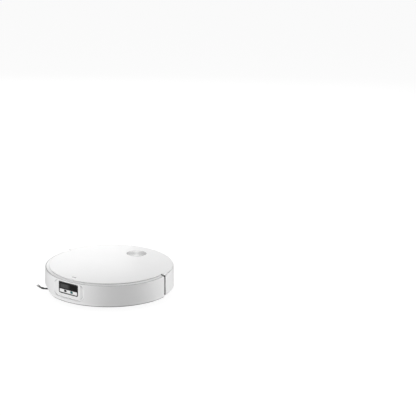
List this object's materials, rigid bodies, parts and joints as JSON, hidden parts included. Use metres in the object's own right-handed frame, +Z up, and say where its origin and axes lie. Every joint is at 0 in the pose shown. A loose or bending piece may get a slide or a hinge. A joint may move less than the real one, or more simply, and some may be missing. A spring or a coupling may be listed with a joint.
{
  "type": "robot vacuum",
  "caption": "Disc-shaped robot vacuum and mop with a floating front bumper, sensor window, pop-up turret, swing-out side brush and rotating mop pads.",
  "frame": {"origin": "on the floor under the centre of the round body", "axes": "+Z up, -Y out of the front window, -X the robot's own right-hand side"},
  "size_m": [0.3527, 0.3505, 0.079],
  "materials": {
    "gloss_white": "high gloss moulded plastic",
    "satin_black": "fine textured dark plastic",
    "satin_grey": "satin grey plastic",
    "piano_black": "polished dark plastic",
    "smoked_glass": "smoked window",
    "dark_lens": "coated lens",
    "teal_lens": "coated lens",
    "spun_metal": "spun and clear anodised",
    "tread": "ribbed rubber",
    "soft_rubber": "soft rubber",
    "spring_steel": "drawn wire",
    "plated": "plated contact",
    "cloth": "looped microfibre",
    "bristle": "nylon bristle",
    "board_green": "solder mask",
    "wrap_blue": "heat-shrink film",
    "clear_smoke": "clear tinted plastic",
    "pleated_paper": "pleated filter medium",
    "fan_grey": "moulded housing"
  },
  "bodies": {
    "chassis": {"chassis_pan": "satin_black", "chassis_wall": "satin_black", "wheel_housing_left": "satin_black", "wheel_housing_right": "satin_black", "caster_cup": "satin_black", "inner_deck": "satin_grey", "rear_shell": "gloss_white", "charging_contacts": "plated", "water_port": "soft_rubber", "turret_sleeve": "satin_grey", "brush_tunnel": "satin_grey", "brush_guard": "satin_black", "side_brush_motor": "fan_grey", "dust_bin": "clear_smoke", "bin_lid": "satin_grey", "bin_filter": "pleated_paper", "fan_housing": "fan_grey", "battery_pack": "wrap_blue", "main_board": "board_green", "camera_unit": "satin_black", "water_tank": "clear_smoke", "water_pump": "fan_grey", "cliff_sensors": "piano_black", "pan_screws": "spring_steel", "bumper_springs": "spring_steel", "suspension_spring_left": "spring_steel", "suspension_spring_right": "spring_steel"},
    "bumper": {"bumper_shell": "gloss_white", "window_frame": "piano_black", "window_glass": "smoked_glass", "sensor_strip": "gloss_white", "lens_left": "teal_lens", "lens_right": "dark_lens"},
    "cover": {"top_cover": "gloss_white"},
    "key": {"lid_button": "piano_black"},
    "turret": {"turret_carriage": "satin_black", "turret_cap": "spun_metal"},
    "lidar": {"lidar_head": "satin_black"},
    "drive_arm_left": {"wheel_arm_left": "satin_black"},
    "wheel_left": {"wheel_rim_left": "satin_grey", "wheel_tyre_left": "tread"},
    "drive_arm_right": {"wheel_arm_right": "satin_black"},
    "wheel_right": {"wheel_rim_right": "satin_grey", "wheel_tyre_right": "tread"},
    "caster_swivel_body": {"caster_fork": "satin_black"},
    "caster_roller": {"caster_wheel": "satin_grey"},
    "main_brush": {"roller_core": "satin_grey", "roller_blades": "soft_rubber"},
    "side_arm": {"side_brush_arm": "satin_black"},
    "side_brush": {"side_brush_hub": "satin_black", "side_brush_bristles": "bristle"},
    "mop_lift_left": {"mop_gearbox_left": "satin_grey"},
    "mop_left": {"mop_plate_left": "satin_grey", "mop_pad_left": "cloth"},
    "mop_lift_right": {"mop_gearbox_right": "satin_grey"},
    "mop_right": {"mop_plate_right": "satin_grey", "mop_pad_right": "cloth"},
    "impeller": {"fan_impeller": "fan_grey"}
  },
  "joints": [
    {"name": "bumper_press", "type": "slide", "parent": "chassis", "child": "bumper", "axis": [0, 1, 0], "range_m": [0, 0.0025], "stiffness_N_per_m": 900, "springref_m": -0.002, "deforming": ["bumper_springs"]},
    {"name": "cover_lift", "type": "slide", "parent": "chassis", "child": "cover", "axis": [0, 0, 1], "range_m": [0, 0.04]},
    {"name": "key_press", "type": "slide", "parent": "chassis", "child": "key", "axis": [0, 0, -1], "range_m": [0, 0.0008], "stiffness_N_per_m": 900, "springref_m": -0.0006},
    {"name": "turret_rise", "type": "slide", "parent": "chassis", "child": "turret", "axis": [0, 0, 1], "range_m": [0, 0.022]},
    {"name": "lidar_spin", "type": "hinge", "parent": "turret", "child": "lidar", "pos_m": [0, 0.114, 0.062], "axis": [0, 0, 1], "continuous": true},
    {"name": "drive_arm_drop_left", "type": "hinge", "parent": "chassis", "child": "drive_arm_left", "pos_m": [0.096, -0.05, 0.042], "axis": [-1, 0, 0], "range_deg": [0, 32], "stiffness_Nm_per_rad": 0.2, "springref_deg": 68.75, "deforming": ["suspension_spring_left"]},
    {"name": "wheel_spin_left", "type": "hinge", "parent": "drive_arm_left", "child": "wheel_left", "pos_m": [0.113, -0.008, 0.033], "axis": [1, 0, 0], "continuous": true},
    {"name": "drive_arm_drop_right", "type": "hinge", "parent": "chassis", "child": "drive_arm_right", "pos_m": [-0.096, -0.05, 0.042], "axis": [-1, 0, 0], "range_deg": [0, 32], "stiffness_Nm_per_rad": 0.2, "springref_deg": 68.75, "deforming": ["suspension_spring_right"]},
    {"name": "wheel_spin_right", "type": "hinge", "parent": "drive_arm_right", "child": "wheel_right", "pos_m": [-0.113, -0.008, 0.033], "axis": [1, 0, 0], "continuous": true},
    {"name": "caster_swivel", "type": "hinge", "parent": "chassis", "child": "caster_swivel_body", "pos_m": [0, -0.126, 0.03], "axis": [0, 0, 1], "continuous": true},
    {"name": "caster_roll", "type": "hinge", "parent": "caster_swivel_body", "child": "caster_roller", "pos_m": [0, -0.123, 0.013], "axis": [1, 0, 0], "continuous": true},
    {"name": "main_brush_spin", "type": "hinge", "parent": "chassis", "child": "main_brush", "pos_m": [0, -0.048, 0.021], "axis": [1, 0, 0], "continuous": true},
    {"name": "side_arm_swing", "type": "hinge", "parent": "chassis", "child": "side_arm", "pos_m": [-0.075, -0.112, 0.018], "axis": [0, 0, 1], "range_deg": [0, 30]},
    {"name": "side_brush_spin", "type": "hinge", "parent": "side_arm", "child": "side_brush", "pos_m": [-0.108, -0.093, 0.01], "axis": [0, 0, 1], "continuous": true},
    {"name": "mop_raise_left", "type": "slide", "parent": "chassis", "child": "mop_lift_left", "axis": [0, 0, 1], "range_m": [0, 0.01]},
    {"name": "mop_spin_left", "type": "hinge", "parent": "mop_lift_left", "child": "mop_left", "pos_m": [0.066, 0.084, 0.02], "axis": [0, 0, 1], "continuous": true},
    {"name": "mop_raise_right", "type": "slide", "parent": "chassis", "child": "mop_lift_right", "axis": [0, 0, 1], "range_m": [0, 0.01]},
    {"name": "mop_spin_right", "type": "hinge", "parent": "mop_lift_right", "child": "mop_right", "pos_m": [-0.066, 0.084, 0.02], "axis": [0, 0, 1], "continuous": true},
    {"name": "impeller_spin", "type": "hinge", "parent": "chassis", "child": "impeller", "pos_m": [0.056, 0.014, 0.048], "axis": [0, 0, 1], "continuous": true}
  ],
  "couplings": [
    {"joint": "mop_raise_left", "follows": "mop_raise_right", "ratio": 1},
    {"joint": "mop_spin_left", "follows": "mop_spin_right", "ratio": -1}
  ]
}
